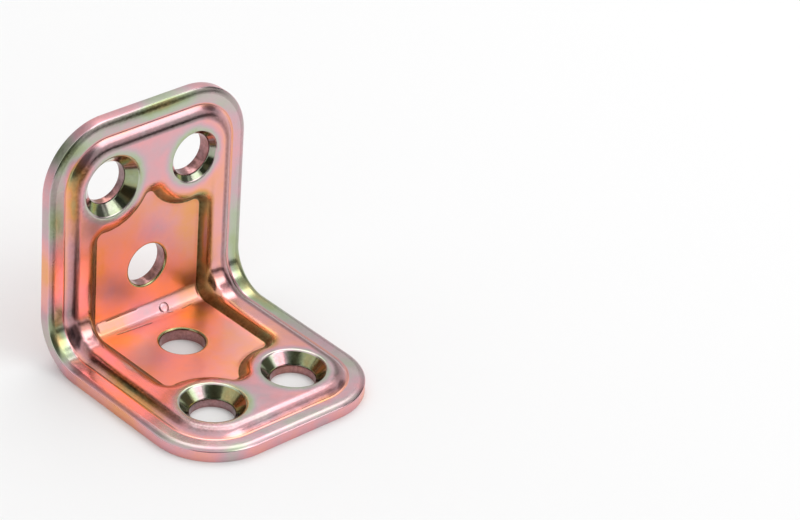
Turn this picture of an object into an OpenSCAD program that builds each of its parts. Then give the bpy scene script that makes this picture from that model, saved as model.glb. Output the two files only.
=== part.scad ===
// Corner brace bracket: one pressed and bent plate, two square flanges with a raised rib all round
// The bend runs along X, the lower flange lies on z = 0 and the upright one stands at its +Y end
// Sections are drawn with the heel corner at the origin; the plate is then centred over its footprint

/* [Flanges] */
// length of each flange, from the back of the other one to its free end
flange_length = 40; // [38:0.5:60]
// width of the bracket, along the bend
bracket_width = 38; // [37:0.5:46]
// thickness of the steel sheet
sheet_thickness = 2.2; // [1.6:0.1:2.4]
// radius of the rounded free corners
corner_radius = 10.8; // [9:0.2:12]
// outer radius of the bend at the two sides
heel_radius = 8.4; // [7:0.2:9.4]
// width of the front edge rolled down by the cut
edge_roll = 1.1; // [0.2:0.1:1.3]
// steepest angle of the rolled edge, where it meets the cut face
edge_angle = 42; // [20:1:60]

/* [Raised rib] */
// width of the flat rim outside the rib
rim_width = 2.6; // [2:0.1:3]
// width of the slope from the rim up to the rib
shoulder_width = 2.5; // [1.6:0.1:2.6]
// radius at the foot of that slope
shoulder_foot_radius = 0.6; // [0.2:0.05:0.8]
// height of the rib above the rim
rib_rise = 1.05; // [0.7:0.05:1.3]

/* [Recess] */
// width of the recess floor between the two ribs
recess_width = 20.2; // [18:0.2:21]
// width of the slope from the recess floor up to the rib
recess_slope = 2.4; // [1.4:0.1:2.5]
// radius at the foot of that slope
recess_foot_radius = 0.3; // [0.2:0.05:0.6]
// outer radius of the sharper bend under the recess floor
recess_heel_radius = 4.7; // [3.8:0.1:5.6]
// width of the side wall left beside the recess in the bend
wall_thickness = 1.3; // [1:0.1:1.5]
// radius of the recess outline around each screw hole
recess_arc_radius = 8.4; // [8.1:0.1:9]
// distance from the free end to the peak of the recess outline
recess_peak_margin = 15.1; // [14:0.1:16]
// radius of the small round pip in the bend of the floor
pip_radius = 0.9; // [0.6:0.1:1.2]
// height of the pip over the floor
pip_rise = 0.3; // [0.2:0.05:0.5]
// offset of the pip from the middle, along the bend
pip_offset = 2.9; // [-3:0.1:4]

/* [Holes] */
// distance between the two screw holes of a flange
screw_hole_spacing = 16; // [15.4:0.1:16.4]
// distance from the free end to the screw hole centres
screw_hole_margin = 11.2; // [10.8:0.1:12]
// diameter of the screw holes
screw_hole_diameter = 7; // [5.5:0.1:7.4]
// diameter of the countersinks at the surface
countersink_diameter = 10.5; // [9.6:0.1:10.8]
// diameter of the shallower countersink at the upper right
small_countersink_diameter = 8.9; // [8:0.1:10]
// full angle of the countersinks
countersink_angle = 90; // [82:1:100]
// diameter of the plain middle holes
middle_hole_diameter = 7.2; // [5:0.1:7.6]
// height of the middle hole centres above the back of the other flange
middle_hole_height = 11.5; // [10.5:0.1:13]

/* [Back] */
// width of the sloping side of the channel behind the rib
channel_slope = 1; // [0.7:0.1:1.1]
// diameter of the metal pressed down around each screw hole, at the back
boss_diameter = 9.4; // [8.8:0.1:9.8]
// widening of that metal towards its root, on each side
boss_draft = 0.4; // [0.2:0.1:0.5]

/* [Hidden] */
over = 1;
rib_level = sheet_thickness + rib_rise;
half_width = bracket_width / 2;
half_spacing = screw_hole_spacing / 2;
half_recess = recess_width / 2;
hole_line = flange_length - screw_hole_margin;
corner_x = half_width - corner_radius;
corner_line = flange_length - corner_radius;
// the straight run ends short of the screw holes, where the recess outline starts to curve
run_end = hole_line - recess_arc_radius - over;
// the sheet keeps its thickness through a slope, so its back face lies further along than its front
shoulder_shift = sheet_thickness * rib_rise / shoulder_width;
recess_shift = sheet_thickness * rib_rise / recess_slope;
shoulder_middle = rim_width + shoulder_width / 2;
recess_middle = half_recess + recess_slope / 2;
channel_out = half_width - shoulder_middle - shoulder_shift;
channel_in = recess_middle + recess_shift;
back_arc_radius = recess_arc_radius - recess_slope / 2 - recess_shift;
peak_line = flange_length - recess_peak_margin;
floor_bend_radius = recess_heel_radius - sheet_thickness;
arc_steps = 4;
roll_steps = 4;
round_fn = 72;
pip_fn = 48;
pip_root = 0.5;

// points of a slope from its foot to its crest, made of two arcs with the foot's radius given
function slope_points(u0, n0, u1, n1, foot) =
    let (w = abs(u1 - u0), h = n1 - n0, side = sign(u1 - u0), turn = 2 * atan(h / w),
        crest = w / sin(turn) - foot)
    concat(
        [for (i = [0:arc_steps]) let (a = turn * i / arc_steps)
            [u0 + side * foot * sin(a), n0 + foot * (1 - cos(a))]],
        [for (i = [arc_steps - 1:-1:0]) let (a = turn * i / arc_steps)
            [u1 - side * crest * sin(a), n1 - crest * (1 - cos(a))]]);

// rolled front edge, from the cut face at distance e round to the rim
function roll_points(e) =
    let (r = edge_roll / sin(edge_angle))
    [for (i = [roll_steps:-1:0]) let (a = edge_angle * i / roll_steps)
        [e - edge_roll + r * sin(a), sheet_thickness - r * (1 - cos(a))]];

function reversed(p) = [for (i = [len(p) - 1:-1:0]) p[i]];

function mirrored(p) = [for (q = reversed(p)) [-q[0], q[1]]];

// front of one side of the plate, from the cut face at distance e inwards to the top of the rib
function outer_points(e) = concat(
    roll_points(e),
    slope_points(e - rim_width, sheet_thickness, e - rim_width - shoulder_width, rib_level,
        shoulder_foot_radius));

// right half of the channel behind the rib, from the outside inwards
channel_points = [
    [channel_out + channel_slope / 2, 0],
    [channel_out - channel_slope / 2, rib_rise],
    [channel_in + channel_slope / 2, rib_rise],
    [channel_in - channel_slope / 2, 0]];

recess_points = reversed(slope_points(half_recess, sheet_thickness, half_recess + recess_slope,
    rib_level, recess_foot_radius));

// section across a flange with the rib, the recess and the channels
module full_section() {
    half_front = concat(outer_points(half_width), recess_points);
    polygon(concat(
        reversed(channel_points),
        [[half_width, 0]],
        half_front,
        mirrored(half_front),
        [[-half_width, 0]],
        mirrored(reversed(channel_points))));
}

// section across one side of the bend, up to the recess
module side_section() {
    polygon(concat(
        [[half_recess, 0]],
        reversed(channel_points),
        [[half_width, 0]],
        outer_points(half_width),
        recess_points));
}

// section across a flange with no recess and no channel
module blank_section() {
    half_front = outer_points(half_width);
    polygon(concat([[half_width, 0]], half_front, mirrored(half_front), [[-half_width, 0]]));
}

// lays a section drawn as (across, height) along the lower flange, between two distances from the heel
module along_flange(from, to) {
    translate([0, -from, 0])
        rotate([90, 0, 0])
            linear_extrude(to - from)
                children();
}

// rounded free corner, turned about its own centre
module corner_piece() {
    rotate_extrude(angle = 90, start = 270, $fn = round_fn)
        polygon(concat([[0, 0], [corner_radius, 0]], outer_points(corner_radius), [[0, rib_level]]));
}

// strip at the free end between the two corners
module end_strip() {
    translate([-corner_x, -corner_line, 0])
        rotate([90, 0, 90])
            linear_extrude(2 * corner_x)
                mirror([1, 0])
                    polygon(concat([[0, 0], [corner_radius, 0]], outer_points(corner_radius),
                        [[0, rib_level]]));
}

// metal that stays standing around a screw hole where the recess is pressed down
module hill() {
    rotate_extrude($fn = round_fn)
        polygon(concat(
            [[0, -over], [recess_arc_radius, -over]],
            slope_points(recess_arc_radius, sheet_thickness, recess_arc_radius - recess_slope,
                rib_level, recess_foot_radius),
            [[recess_arc_radius - recess_slope, rib_level + 2 * over], [0, rib_level + 2 * over]]));
}

// right half of the end of the recess, with its arc around the screw hole and half of the peak
module recess_end_half() {
    difference() {
        along_flange(run_end - over, peak_line + recess_slope + over / 2)
            polygon(concat(
                [[0, rib_level + over], [half_recess + recess_slope, rib_level + over]],
                recess_points, [[0, sheet_thickness]]));
        translate([half_spacing, -hole_line, 0])
            rotate(-90)
                hill();
        translate([-over, 0, 0])
            rotate([90, 0, 90])
                linear_extrude(half_spacing / 2 + over)
                    polygon(concat(
                        [[-peak_line - recess_slope - over, 0], [-peak_line, 0]],
                        slope_points(-peak_line, sheet_thickness, -peak_line - recess_slope, rib_level,
                            recess_foot_radius),
                        [[-peak_line - recess_slope, rib_level + 2 * over],
                            [-peak_line - recess_slope - over, rib_level + 2 * over]]));
    }
}

// end of the recess with its two arcs and the peak between them
module recess_end() {
    recess_end_half();
    mirror([1, 0, 0])
        recess_end_half();
}

// hollow behind the rib at the free end, around the metal pressed down at the screw holes
module channel_end() {
    back_peak = peak_line + recess_slope / 2 + recess_shift;
    back_end = flange_length - shoulder_middle - shoulder_shift;
    difference() {
        union() {
            along_flange(run_end - over, hole_line) {
                polygon(channel_points);
                polygon(mirrored(channel_points));
            }
            for (side = [-1, 1])
                translate([side * half_spacing, -hole_line, 0])
                    cylinder(h = rib_rise, r1 = back_arc_radius + channel_slope / 2,
                        r2 = back_arc_radius - channel_slope / 2, $fn = round_fn);
            translate([-half_spacing, 0, 0])
                rotate([90, 0, 90])
                    linear_extrude(screw_hole_spacing)
                        polygon([
                            [-back_end - channel_slope / 2, 0], [-back_peak + channel_slope / 2, 0],
                            [-back_peak - channel_slope / 2, rib_rise],
                            [-back_end + channel_slope / 2, rib_rise]]);
        }
        for (side = [-1, 1])
            translate([side * half_spacing, -hole_line, 0])
                cylinder(h = rib_rise, d1 = boss_diameter, d2 = boss_diameter + 2 * boss_draft,
                    $fn = round_fn);
    }
}

// one flange lying flat, from the end of the bend to its free end
module flange() {
    along_flange(heel_radius, run_end)
        full_section();
    difference() {
        union() {
            along_flange(run_end, corner_line)
                blank_section();
            for (side = [0, 1])
                mirror([side, 0, 0])
                    translate([corner_x, -corner_line, 0])
                        corner_piece();
            end_strip();
        }
        recess_end();
        channel_end();
    }
}

// bend of the two ribs and rims, turned about the centre of the heel
module bent_sides() {
    for (side = [0, 1])
        mirror([side, 0, 0])
            translate([0, -heel_radius, heel_radius])
                rotate([0, 90, 0])
                    rotate_extrude(angle = 90, $fn = round_fn)
                        rotate([0, 0, 90])
                            translate([0, -heel_radius])
                                side_section();
}

// recess floor through the bend, with its own sharper radius
module bent_floor() {
    reach = half_recess + wall_thickness;
    translate([-reach, 0, 0])
        rotate([90, 0, 90])
            linear_extrude(2 * reach)
                difference() {
                    union() {
                        translate([-heel_radius, 0])
                            square([heel_radius - recess_heel_radius, sheet_thickness]);
                        translate([-sheet_thickness, recess_heel_radius])
                            square([sheet_thickness, heel_radius - recess_heel_radius]);
                        intersection() {
                            translate([-recess_heel_radius, recess_heel_radius])
                                circle(r = recess_heel_radius, $fn = round_fn);
                            translate([-recess_heel_radius, 0])
                                square(recess_heel_radius);
                        }
                    }
                    translate([-recess_heel_radius, recess_heel_radius])
                        circle(r = floor_bend_radius, $fn = round_fn);
                }
}

// small round pip standing on the bend of the floor, a cap of a ball with a short root in the sheet
module pip() {
    seat = recess_heel_radius - floor_bend_radius * sqrt(1 / 2);
    ball = (pip_radius * pip_radius + pip_rise * pip_rise) / (2 * pip_rise);
    translate([pip_offset, -seat, seat])
        rotate([45, 0, 0])
            intersection() {
                translate([0, 0, pip_rise - ball])
                    sphere(r = ball, $fn = pip_fn);
                translate([0, 0, -pip_root])
                    cylinder(h = pip_root + pip_rise, r = pip_radius, $fn = pip_fn);
            }
}

// plain and countersunk holes of one flange lying flat, the right countersink set apart
module flange_holes(right_diameter) {
    for (side = [-1, 1]) {
        mouth = side > 0 ? right_diameter : countersink_diameter;
        sink = (mouth - screw_hole_diameter) / 2 / tan(countersink_angle / 2);
        flare = over * tan(countersink_angle / 2);
        translate([side * half_spacing, -hole_line, 0]) {
            translate([0, 0, -over])
                cylinder(h = rib_level + over, d = screw_hole_diameter, $fn = round_fn);
            translate([0, 0, rib_level - sink])
                cylinder(h = sink + over, d1 = screw_hole_diameter, d2 = mouth + 2 * flare,
                    $fn = round_fn);
        }
    }
    translate([0, -middle_hole_height, -over])
        cylinder(h = rib_level + 2 * over, d = middle_hole_diameter, $fn = round_fn);
}

// turns what lies on the lower flange up onto the upright one
module upright() {
    mirror([0, 1, 1])
        children();
}

module bracket() {
    color([0.86, 0.62, 0.5])
        translate([0, flange_length / 2, 0])
            difference() {
                union() {
                    flange();
                    upright()
                        flange();
                    bent_sides();
                    bent_floor();
                    pip();
                }
                flange_holes(countersink_diameter);
                upright()
                    flange_holes(small_countersink_diameter);
            }
}

bracket();
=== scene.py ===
"""Looks of a corner brace bracket: one pressed and bent steel plate with a coloured zinc passivate.

The plate is drawn in millimetres in stations along its outline: x runs along the bend, q runs along the sheet
from the end of the outer bend, and the level of a surface is its height over the back of the sheet.
"""

import logging
import math
from dataclasses import dataclass, field
from enum import Enum

import bmesh
import bpy
import numpy as np
from mathutils import Euler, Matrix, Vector
from mathutils.geometry import delaunay_2d_cdt


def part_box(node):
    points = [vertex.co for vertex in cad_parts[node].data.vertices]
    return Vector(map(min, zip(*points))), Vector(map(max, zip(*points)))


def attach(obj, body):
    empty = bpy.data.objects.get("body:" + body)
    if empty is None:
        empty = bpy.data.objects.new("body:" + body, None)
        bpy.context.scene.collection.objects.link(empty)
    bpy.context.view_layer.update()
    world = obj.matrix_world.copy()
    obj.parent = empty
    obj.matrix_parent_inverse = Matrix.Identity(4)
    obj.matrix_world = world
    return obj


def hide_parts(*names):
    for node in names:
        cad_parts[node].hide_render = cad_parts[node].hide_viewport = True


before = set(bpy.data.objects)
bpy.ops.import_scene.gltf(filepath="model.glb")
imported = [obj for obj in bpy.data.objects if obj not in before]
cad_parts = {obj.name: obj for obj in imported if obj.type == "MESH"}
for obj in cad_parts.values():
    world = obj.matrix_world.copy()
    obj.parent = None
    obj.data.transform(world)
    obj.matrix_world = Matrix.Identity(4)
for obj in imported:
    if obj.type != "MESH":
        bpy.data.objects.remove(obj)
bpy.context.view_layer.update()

LOG = logging.getLogger("bracket")
NODE = "bracket"
BODY = "root"
SLOT = "zinc_passivate"
MM = 0.001
QUARTER = math.pi / 2
TURN = 2 * math.pi
UP, LEFT, DOWN = 90, 180, 270
WELD = 0.002
STRIP_WELD = WELD / 4
SLIVER = WELD / 10
FILL_TOLERANCE = 1e-6
ROW_SHARE = 0.9
# Point layers: each zone's place in the film colours, and its painted shade.
ZONE_LAYERS = ("tone", "dark")
NOISE_MEAN = 0.5
MIX_SHARE, MIX_FIRST, MIX_SECOND, MIX_RESULT = 0, 6, 7, 2


class Flange(Enum):
    """The two flanges; the value is the way that the sheet runs away from the bend."""

    LOWER = -1
    UPRIGHT = 1


class Tone(Enum):
    """Place of each zone of the plate in the run of film colours, before its own variation."""

    CUT = 0.12
    EDGE = -0.04
    GLINT = 0.03
    RIM = -0.06
    FOOT = 0.22
    SHOULDER = 0.2
    CREST = 0.06
    PLATEAU = 0.17
    WALL = 0.5
    RECESS = 0.24
    LIP = 0.08
    MOUTH = 0.64
    CONE = -0.23
    BORE = 0.11
    BACK = 0.21


@dataclass(frozen=True)
class PaintedShade:
    """Painted shade on each zone, from its first point to its last, for creases, walls, holes and dark
    reflections; below 0 it cancels spots' shade.
    """

    # Rolled edge and rib crest: painted dark reflection; foot, walls, cones, mouths and bores: painted shade;
    # the glint is kept clear of it.
    glint: tuple = (-0.6, -0.6)
    edge: tuple = (0.25, 0.25)
    foot: tuple = (0.1, 0.3)
    crest: tuple = (0.2, 0.66)
    crest_end: tuple = (0.52, 0)
    wall_foot: tuple = (0.8, 0.8)
    wall: tuple = (0.75, 0.5)
    wall_crest: tuple = (0.35, 0)
    cone: tuple = (0.26, 0.32)
    mouth: tuple = (0.1, 0.3)
    bore: tuple = (0.6, 0.6)


@dataclass
class Sheet:
    """Sizes of the pressed sheet, in millimetres, and how finely its forms are divided."""

    width: float
    length: float
    thickness: float = 2.2
    corner_radius: float = 10.8
    heel_radius: float = 8.4
    edge_roll: float = 1.1
    edge_angle: float = 42.0
    edge_break: float = 0.17
    burr_radius: float = 0.12
    rim_width: float = 2.6
    rim_shares: tuple = (0.35, 0.7, 0.9)
    shoulder_width: float = 2.5
    rib_rise: float = 1.05
    foot_radius: float = 0.6
    crest_radius: float = 2.8
    channel_slope: float = 1.0
    back_round: float = 0.35
    step: float = 0.7
    arc_steps: int = 26
    bend_steps: int = 26
    burr_steps: int = 3
    break_steps: int = 4
    roll_steps: int = 8
    shoulder_steps: int = 9
    shoulder_zones: tuple = (4, 10, 17)

    @classmethod
    def from_frame(cls) -> "Sheet":
        """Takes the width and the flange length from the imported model's box."""
        low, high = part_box(NODE)
        return cls(width=(high.x - low.x) / MM, length=(high.z - low.z) / MM)

    @property
    def rib_level(self) -> float:
        """Height of the rib's top over the back."""
        return self.thickness + self.rib_rise

    @property
    def rib_start(self) -> float:
        """Distance from the edge to the rib's top."""
        return self.rim_width + self.shoulder_width

    @property
    def channel_start(self) -> float:
        """Distance from the edge to the hollow behind the rib, which the sheet's thickness sets inwards."""
        shift = self.thickness * self.rib_rise / self.shoulder_width
        return self.rim_width + self.shoulder_width / 2 + shift - self.channel_slope / 2

    @property
    def channel_end(self) -> float:
        """Distance from the edge to the full depth of the hollow behind the rib."""
        return self.channel_start + self.channel_slope


@dataclass
class Recess:
    """Sizes of the sunk field between the ribs, in millimetres, and how finely it is divided."""

    half_width: float = 10.1
    slope: float = 2.4
    foot_radius: float = 0.3
    foot_band: float = 0.12
    crest_radius: float = 2.85
    heel_radius: float = 4.7
    arc_radius: float = 8.4
    corner_radius: float = 1.3
    peak_radius: float = 1.0
    back_slope: float = 1.0
    arc_steps: int = 30
    corner_steps: int = 12
    wall_steps: int = 7
    wall_zones: tuple = (5, 10)

    def back_start(self, sheet: Sheet) -> float:
        """Distance from the edge of the floor to the edge of its raised back."""
        return self.slope / 2 + sheet.thickness * sheet.rib_rise / self.slope - self.back_slope / 2


@dataclass
class Holes:
    """Sizes of the screw holes and the plain holes, in millimetres, and how finely they are divided."""

    half_spacing: float = 8.0
    margin: float = 11.2
    screw_radius: float = 3.5
    mouth_radius: float = 5.25
    small_mouth_radius: float = 4.45
    mouth_roll: float = 0.55
    throat_break: float = 0.12
    throat_slant: float = 1.4
    turned_rings: int = 7
    ring_depth: float = 0.009
    boss_radius: float = 4.7
    boss_draft: float = 0.4
    middle_radius: float = 3.6
    middle_height: float = 11.5
    middle_roll: float = 0.42
    back_break: float = 0.12
    segments: int = 96
    ring_steps: int = 4
    lip_steps: int = 5
    roll_steps: int = 6

    @property
    def foot_radius(self) -> float:
        """Radius of the pressed-down metal round a screw hole, where it leaves the hollow."""
        return self.boss_radius + self.boss_draft


@dataclass(frozen=True)
class Level:
    """One surface of the sheet: flat, a quarter turn about the bend axis, and flat again."""

    axis: float
    radius: float
    heel: float

    @property
    def half_turn(self) -> float:
        """Length of half the arc."""
        return self.radius * QUARTER / 2

    @property
    def reach(self) -> float:
        """Distance along the surface from the middle of the bend to the end of the outer bend."""
        return self.half_turn + self.heel - self.axis

    def along(self, q: np.ndarray, turn: np.ndarray) -> np.ndarray:
        """Signed distances along the surface from the middle of the bend, for stations at q and turn."""
        return (2 * turn / QUARTER - 1) * self.reach + q

    def place(self, x: np.ndarray, t: np.ndarray) -> tuple[np.ndarray, np.ndarray]:
        """Points and normals of the surface.

        Args:
            x: places along the bend.
            t: signed distances from the middle of the bend.

        Returns:
            Points and unit normals, both as rows.
        """
        angle = np.clip(t / self.radius + QUARTER / 2, 0, QUARTER)
        extra = t - np.clip(t, -self.half_turn, self.half_turn)
        sine, cosine = np.sin(angle), np.cos(angle)
        points = np.stack([x, self.radius * sine - self.axis + extra * cosine,
                           self.axis - self.radius * cosine + extra * sine], axis=1)
        return points, np.stack([np.zeros_like(x), -sine, cosine], axis=1)


@dataclass
class Stations:
    """Stations of a closed line round both flanges, with the direction that its profile runs in."""

    x: np.ndarray
    q: np.ndarray
    dx: np.ndarray
    dq: np.ndarray
    turn: np.ndarray

    @classmethod
    def around(cls, half: np.ndarray, heel: float, bend_steps: int) -> "Stations":
        """Closes half a flange's line over both halves of both flanges.

        Args:
            half: rows of x, distance from the heel and direction, from the free end's middle to the bend.
            heel: distance from the heel at which the outer bend ends.
            bend_steps: number of steps through the bend.

        Returns:
            The stations of the closed line, without a doubled last one.
        """
        x, s, dx, ds = half.T
        lower = np.stack([x, heel - s, dx, -ds, np.zeros_like(x)], axis=1)
        upper = np.stack([x, s - heel, dx, ds, np.full_like(x, QUARTER)], axis=1)
        turns = np.linspace(0, QUARTER, bend_steps + 1)[1:-1]
        bend = np.zeros((len(turns), lower.shape[1]))
        bend[:, 0], bend[:, 2], bend[:, 4] = x[-1], dx[-1], turns
        right = np.vstack([lower, bend, upper[::-1]])
        left = right[::-1][1:-1] * np.array([-1, 1, -1, 1, 1])
        return cls(*np.vstack([right, left]).T)

    def flat(self, level: Level, offset: float) -> np.ndarray:
        """The line in a level's flat coordinates, moved along its directions by an offset."""
        return np.stack([self.x + offset * self.dx,
                         level.along(self.q, self.turn) + offset * self.dq], axis=1)

    def on(self, level: Level, offset: float) -> np.ndarray:
        """The line's points on a level, moved along its directions by an offset."""
        return level.place(*self.flat(level, offset).T)[0]

    def across(self) -> np.ndarray:
        """The directions of the profile, in space."""
        return np.stack([self.dx, self.dq * np.cos(self.turn), self.dq * np.sin(self.turn)], axis=1)


def line_points(start: tuple, end: tuple, direction: tuple, step: float) -> np.ndarray:
    """Stations of a straight stretch, without its last point.

    Args:
        start: x and distance of the first point.
        end: x and distance of the point after the last.
        direction: direction of the profile there.
        step: longest distance between stations.

    Returns:
        Rows of x, distance and direction.
    """
    count = max(1, math.ceil(math.dist(start, end) / step))
    share = np.linspace(0, 1, count, endpoint=False)[:, None]
    points = np.array(start) + share * (np.array(end) - np.array(start))
    return np.hstack([points, np.tile(direction, (count, 1))])


def arc_points(centre: tuple, radius: float, first: float, last: float, steps: int,
               outward: float) -> np.ndarray:
    """Stations of an arc, without its last point.

    Args:
        centre: x and distance of the arc's centre.
        radius: radius of the arc.
        first: angle of the first point, in radians.
        last: angle of the point after the last, in radians.
        steps: number of stations.
        outward: 1 where the profile runs away from the centre, -1 where it runs towards it.

    Returns:
        Rows of x, distance and direction.
    """
    angle = np.linspace(first, last, steps, endpoint=False)
    ray = np.stack([np.cos(angle), np.sin(angle)], axis=1)
    return np.hstack([np.array(centre) + radius * ray, outward * ray])


def slope_profile(start: tuple, end: tuple, first_radius: float, last_radius: float,
                  steps: int) -> list[tuple]:
    """A straight slope between two level stretches, rounded at its foot and its crest.

    Args:
        start: across and height of the first end.
        end: across and height of the last end.
        first_radius: radius at the first end.
        last_radius: radius at the last end.
        steps: number of steps in each round.

    Returns:
        Points of the profile, both ends included.
    """
    run, rise = end[0] - start[0], end[1] - start[1]
    way, climb = math.copysign(1, run), math.copysign(1, rise)
    run, rise = abs(run), abs(rise)
    both = first_radius + last_radius
    tilt = math.asin(both / math.hypot(run, rise - both)) + math.atan2(rise - both, run)
    angles = [tilt * i / steps for i in range(steps + 1)]
    first = [(first_radius * math.sin(a), first_radius * (1 - math.cos(a))) for a in angles]
    last = [(run - last_radius * math.sin(a), rise - last_radius * (1 - math.cos(a)))
            for a in reversed(angles)]
    return [(start[0] + way * u, start[1] + climb * n) for u, n in first + last]


def round_profile(centre: tuple, radius: float, first: float, last: float, steps: int) -> list[tuple]:
    """Points of an arc of a profile, both ends included, with its angles in degrees."""
    angles = [math.radians(first + (last - first) * i / steps) for i in range(steps + 1)]
    return [(centre[0] + radius * math.cos(a), centre[1] + radius * math.sin(a)) for a in angles]


@dataclass
class Profile:
    """A section that is carried along a line: its points, and a tone and a painted shade for each."""

    points: list = field(default_factory=list)
    tones: list = field(default_factory=list)
    darks: list = field(default_factory=list)

    def add(self, points: list[tuple], tone: Tone, darks: tuple = (0, 0),
            last_tone: Tone | None = None) -> "Profile":
        """Adds points whose tone and darkness run evenly from a first value to a last one.

        Args:
            points: points of the section.
            tone: tone of the first point.
            darks: painted shade of the first and the last point.
            last_tone: tone of the last point, if it differs.

        Returns:
            The profile itself.
        """
        self.points += points
        self.tones += np.linspace(tone.value, (last_tone or tone).value, len(points)).tolist()
        self.darks += np.linspace(*darks, len(points)).tolist()
        return self


def feed(tree: bpy.types.NodeTree, node: bpy.types.Node, inputs: dict) -> None:
    """Links sockets into a node's inputs, or sets plain values there.

    Args:
        tree: node tree of the node.
        node: the node.
        inputs: sockets or values, by the name or number of the input.
    """
    for key, value in inputs.items():
        if isinstance(value, bpy.types.NodeSocket):
            tree.links.new(value, node.inputs[key])
        else:
            node.inputs[key].default_value = value


def add_node(tree: bpy.types.NodeTree, kind: str, inputs: dict | None = None,
             **settings: object) -> bpy.types.Node:
    """Adds a node to a tree.

    Args:
        tree: the node tree.
        kind: type of the node.
        inputs: sockets or values for its inputs, by name or number.
        settings: options of the node, set before its inputs.

    Returns:
        The node.
    """
    node = tree.nodes.new(kind)
    for key, value in settings.items():
        setattr(node, key, value)
    feed(tree, node, inputs or {})
    return node


def add_math(tree: bpy.types.NodeTree, operation: str, *values: object) -> bpy.types.NodeSocket:
    """Result of a math node on sockets or plain numbers."""
    return add_node(tree, "ShaderNodeMath", dict(enumerate(values)), operation=operation).outputs["Value"]


def add_sum(tree: bpy.types.NodeTree, *values: object) -> bpy.types.NodeSocket:
    """Sum of several sockets or plain numbers."""
    return add_math(tree, "ADD", values[0], add_sum(tree, *values[1:])) if len(values) > 1 else values[0]


class StripTree:
    """Geometry Nodes tree that carries a profile along a line of stations and closes it."""

    def __init__(self, name: str) -> None:
        """Builds the tree.

        Args:
            name: name of the tree.
        """
        self.tree = bpy.data.node_groups.new(name, "GeometryNodeTree")
        self._socket("Stations", "Geometry")
        self.profile_id = self._socket("Profile", "Object")
        self.weld_id = self._socket("Weld distance", "Float")
        self.material_id = self._socket("Finish", "Material")
        self._socket("Strip", "Geometry", "OUTPUT")
        self._build()

    def _socket(self, name: str, kind: str, way: str = "INPUT") -> str:
        """Gives the tree an input or output and returns its identifier."""
        return self.tree.interface.new_socket(name, in_out=way, socket_type=f"NodeSocket{kind}").identifier

    def _node(self, kind: str, inputs: dict | None = None, **settings: object) -> bpy.types.Node:
        """Adds a geometry node."""
        return add_node(self.tree, f"GeometryNode{kind}", inputs, **settings)

    def _count(self, geometry: bpy.types.NodeSocket) -> bpy.types.NodeSocket:
        """Number of points of a mesh."""
        counted = self._node("AttributeDomainSize", {"Geometry": geometry}, component="MESH")
        return counted.outputs["Point Count"]

    def _layer(self, name: str, kind: str) -> bpy.types.NodeSocket:
        """A named attribute of the points."""
        return self._node("InputNamedAttribute", {"Name": name}, data_type=kind).outputs["Attribute"]

    def _sample(self, geometry: bpy.types.NodeSocket, value: bpy.types.NodeSocket,
                index: bpy.types.NodeSocket, kind: str = "FLOAT_VECTOR") -> bpy.types.NodeSocket:
        """A field of one mesh, read at the given point numbers."""
        inputs = {"Geometry": geometry, "Value": value, "Index": index}
        return self._node("SampleIndex", inputs, data_type=kind, domain="POINT").outputs["Value"]

    def _vector(self, operation: str, inputs: dict) -> bpy.types.NodeSocket:
        """Result of a vector math node."""
        return add_node(self.tree, "ShaderNodeVectorMath", inputs, operation=operation).outputs["Vector"]

    def _build(self) -> None:
        """Places each point of a grid at its station and its point of the profile.

        Half is added to a point's index before it is divided, so that rounding can't move it a row.
        """
        tree, group = self.tree, add_node(self.tree, "NodeGroupInput").outputs
        stations = group["Stations"]
        profile = self._node("ObjectInfo", {"Object": group["Profile"]}).outputs["Geometry"]
        size = self._count(profile)
        grid = self._node("MeshGrid", {"Vertices X": self._count(stations), "Vertices Y": size})
        index = self._node("InputIndex").outputs["Index"]
        along = add_math(tree, "FLOOR", add_math(tree, "DIVIDE", add_math(tree, "ADD", index, 0.5), size))
        across = add_math(tree, "SUBTRACT", index, add_math(tree, "MULTIPLY", along, size))
        position = self._node("InputPosition").outputs["Position"]
        point = add_node(tree, "ShaderNodeSeparateXYZ", {"Vector": self._sample(profile, position, across)})
        shifts = []
        for name, part in (("across", "X"), ("rise", "Y")):
            way = self._sample(stations, self._layer(name, "FLOAT_VECTOR"), along)
            shifts.append(self._vector("SCALE", {"Vector": way, "Scale": point.outputs[part]}))
        shift = self._vector("ADD", dict(enumerate(shifts)))
        place = self._vector("ADD", {0: self._sample(stations, position, along), 1: shift})
        steps = [("SetPosition", {"Position": place}, {})]
        for name in ZONE_LAYERS:
            value = self._sample(profile, self._layer(name, "FLOAT"), across, "FLOAT")
            steps.append(("StoreNamedAttribute", {"Name": name, "Value": value}, {"data_type": "FLOAT"}))
        steps += [("MergeByDistance", {"Distance": group["Weld distance"]}, {}),
                  ("RealizeInstances", {}, {}), ("SetMaterial", {"Material": group["Finish"]}, {})]
        made = grid.outputs["Mesh"]
        for kind, inputs, settings in steps:
            made = self._node(kind, {"Geometry": made, **inputs}, **settings).outputs["Geometry"]
        add_node(tree, "NodeGroupOutput", {"Strip": made})


def read_layer(mesh: bpy.types.Mesh, name: str) -> np.ndarray:
    """Values of a mesh's number attribute.

    Args:
        mesh: the mesh.
        name: name of the attribute.

    Returns:
        One value for each point.
    """
    values = np.zeros(len(mesh.vertices), np.float32)
    mesh.attributes[name].data.foreach_get("value", values)
    return values


def read_places(mesh: bpy.types.Mesh) -> np.ndarray:
    """Places of a mesh's points.

    Args:
        mesh: the mesh.

    Returns:
        One row for each point.
    """
    places = np.zeros(len(mesh.vertices) * 3, np.float32)
    mesh.vertices.foreach_get("co", places)
    return places.reshape(-1, 3)


def write_layers(mesh: bpy.types.Mesh, layers: dict) -> None:
    """Gives a mesh new attributes on its points: numbers, or vectors where the values are rows.

    Args:
        mesh: the mesh.
        layers: values of each attribute, by its name.
    """
    for name, values in layers.items():
        values = np.asarray(values, np.float32)
        kind, key = ("FLOAT", "value") if values.ndim == 1 else ("FLOAT_VECTOR", "vector")
        mesh.attributes.new(name, kind, "POINT").data.foreach_set(key, values.ravel())


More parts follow.
